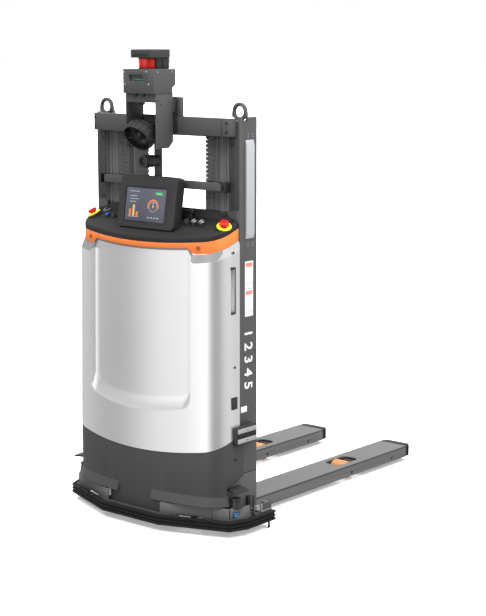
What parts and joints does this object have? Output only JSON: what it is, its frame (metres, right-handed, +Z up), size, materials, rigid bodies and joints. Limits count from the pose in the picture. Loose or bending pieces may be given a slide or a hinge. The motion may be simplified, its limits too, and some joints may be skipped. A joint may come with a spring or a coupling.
{
  "type": "autonomous mobile pallet stacker",
  "caption": "Self-driving pallet stacker with a tall silver front cover, leaning touch screen, navigation tower, rubber bumper and low forks on a two-stage mast.",
  "frame": {"origin": "floor level, under the middle of the overall box", "axes": "+Z up, +Y from the console to the fork tips, +X to the right-hand side when facing the forks from the console"},
  "size_m": [0.99, 1.64, 1.99],
  "materials": {
    "silver_paint": "satin",
    "orange_paint": "satin",
    "dark_plastic": "matte",
    "dark_paint": "satin",
    "mid_grey_paint": "satin",
    "fork_paint": "satin",
    "black_rubber": "matte",
    "black_plastic": "matte",
    "lamp_cover": "glossy",
    "steel": "brushed",
    "chain_steel": "oiled",
    "rod_chrome": "polished",
    "cast_hub": "rough",
    "wheel_tread": "matte",
    "roller_tread": "satin",
    "contact_metal": "satin",
    "screen_glass": "glossy",
    "clear_guard": "clear",
    "yellow_plastic": "glossy",
    "red_plastic": "glossy",
    "blue_plastic": "glossy",
    "lidar_red": "glossy",
    "scanner_blue": "glossy"
  },
  "bodies": {
    "chassis": {"chassis_base": "dark_paint", "bumper_strip": "black_rubber", "grounding_strap": "black_rubber", "base_skirt": "dark_paint", "foot_covers": "mid_grey_paint", "columns": "mid_grey_paint", "mast_rails": "dark_paint", "top_beam": "mid_grey_paint", "lifting_eyes": "mid_grey_paint", "status_lamps": "lamp_cover", "front_cover": "silver_paint", "trim_band": "orange_paint", "console_cap": "dark_plastic", "control_bezels": "black_plastic", "stop_collars": "yellow_plastic", "screen_case": "dark_plastic", "screen_glass": "screen_glass", "tower_frame": "mid_grey_paint", "tower_box": "mid_grey_paint", "lidar_window": "lidar_red", "lidar_body": "black_plastic", "lidar_roof": "dark_paint", "warning_lamp": "black_plastic", "camera_body": "black_plastic", "cross_bar": "mid_grey_paint", "guard_panel": "clear_guard", "charge_housing": "black_plastic", "charge_contacts": "contact_metal", "handle_cups": "black_plastic", "sensor_fascias": "dark_paint", "corner_scanners": "scanner_blue", "scanner_hoods": "dark_paint", "lift_cylinders": "dark_paint", "chain_fixed_run": "chain_steel", "legs": "dark_paint", "power_pack": "dark_paint", "cover_screws": "steel"},
    "drive_turret": {"drive_turret": "cast_hub"},
    "drive_wheel": {"drive_wheel": "wheel_tread"},
    "caster_fork_right": {"caster_fork_right": "steel"},
    "caster_wheel_right": {"caster_wheel_right": "wheel_tread"},
    "caster_fork_left": {"caster_fork_left": "steel"},
    "caster_wheel_left": {"caster_wheel_left": "wheel_tread"},
    "load_roller_right": {"load_roller_right": "roller_tread"},
    "load_roller_left": {"load_roller_left": "roller_tread"},
    "inner_mast": {"inner_mast_rails": "dark_paint", "mast_crosshead": "dark_paint", "piston_rods": "rod_chrome", "chain_lifting_run": "chain_steel"},
    "chain_sheaves": {"chain_sheaves": "cast_hub"},
    "carriage": {"carriage_frame": "fork_paint", "fork_right": "fork_paint", "fork_left": "fork_paint", "fork_noses": "black_plastic"},
    "stop_button_right": {"stop_button_right": "red_plastic"},
    "stop_button_left": {"stop_button_left": "red_plastic"},
    "reset_button": {"reset_button": "blue_plastic"},
    "selector_inner": {"selector_inner": "rod_chrome"},
    "selector_outer": {"selector_outer": "rod_chrome"},
    "key_switch": {"key_switch": "rod_chrome"}
  },
  "joints": [
    {"name": "steer_turn", "type": "hinge", "parent": "chassis", "child": "drive_turret", "pos_m": [0, -0.64, 0.2], "axis": [0, 0, 1], "range_deg": [-90, 90]},
    {"name": "drive_spin", "type": "hinge", "parent": "drive_turret", "child": "drive_wheel", "pos_m": [0, -0.64, 0.105], "axis": [1, 0, 0], "continuous": true},
    {"name": "inner_mast_lift", "type": "slide", "parent": "chassis", "child": "inner_mast", "axis": [0, 0, 1], "range_m": [0, 1.05], "deforming": ["chain_fixed_run"]},
    {"name": "carriage_lift", "type": "slide", "parent": "inner_mast", "child": "carriage", "axis": [0, 0, 1], "range_m": [0, 1.05], "deforming": ["chain_lifting_run"]},
    {"name": "sheave_turn", "type": "hinge", "parent": "inner_mast", "child": "chain_sheaves", "pos_m": [0, -0.513, 1.598], "axis": [1, 0, 0], "range_deg": [0, 1800]},
    {"name": "caster_swivel_right", "type": "hinge", "parent": "chassis", "child": "caster_fork_right", "pos_m": [0.262, -0.688, 0.1], "axis": [0, 0, 1], "continuous": true},
    {"name": "caster_spin_right", "type": "hinge", "parent": "caster_fork_right", "child": "caster_wheel_right", "pos_m": [0.262, -0.664, 0.04], "axis": [1, 0, 0], "continuous": true},
    {"name": "load_roller_spin_right", "type": "hinge", "parent": "chassis", "child": "load_roller_right", "pos_m": [0.2525, 0.35, 0.04], "axis": [1, 0, 0], "continuous": true},
    {"name": "stop_press_right", "type": "slide", "parent": "chassis", "child": "stop_button_right", "axis": [-0.34, 0.33, -0.8806], "range_m": [0, 0.005]},
    {"name": "caster_swivel_left", "type": "hinge", "parent": "chassis", "child": "caster_fork_left", "pos_m": [-0.262, -0.688, 0.1], "axis": [0, 0, 1], "continuous": true},
    {"name": "caster_spin_left", "type": "hinge", "parent": "caster_fork_left", "child": "caster_wheel_left", "pos_m": [-0.262, -0.664, 0.04], "axis": [1, 0, 0], "continuous": true},
    {"name": "load_roller_spin_left", "type": "hinge", "parent": "chassis", "child": "load_roller_left", "pos_m": [-0.2525, 0.35, 0.04], "axis": [1, 0, 0], "continuous": true},
    {"name": "stop_press_left", "type": "slide", "parent": "chassis", "child": "stop_button_left", "axis": [0.34, 0.33, -0.8806], "range_m": [0, 0.005]},
    {"name": "reset_press", "type": "slide", "parent": "chassis", "child": "reset_button", "axis": [0, 0.3552, -0.9348], "range_m": [0, 0.003], "stiffness_N_per_m": 1500},
    {"name": "selector_inner_turn", "type": "hinge", "parent": "chassis", "child": "selector_inner", "pos_m": [0.21, -0.63, 1.27796], "axis": [0, -0.3552, 0.9348], "range_deg": [-45, 45]},
    {"name": "selector_outer_turn", "type": "hinge", "parent": "chassis", "child": "selector_outer", "pos_m": [0.252, -0.63, 1.27796], "axis": [0, -0.3552, 0.9348], "range_deg": [-45, 45]},
    {"name": "key_turn", "type": "hinge", "parent": "chassis", "child": "key_switch", "pos_m": [0.17, -0.63, 1.27796], "axis": [0, -0.3552, 0.9348], "range_deg": [0, 90]}
  ],
  "couplings": [
    {"joint": "carriage_lift", "follows": "inner_mast_lift", "ratio": 1},
    {"joint": "sheave_turn", "follows": "inner_mast_lift", "rad_per_m": 29.412}
  ]
}
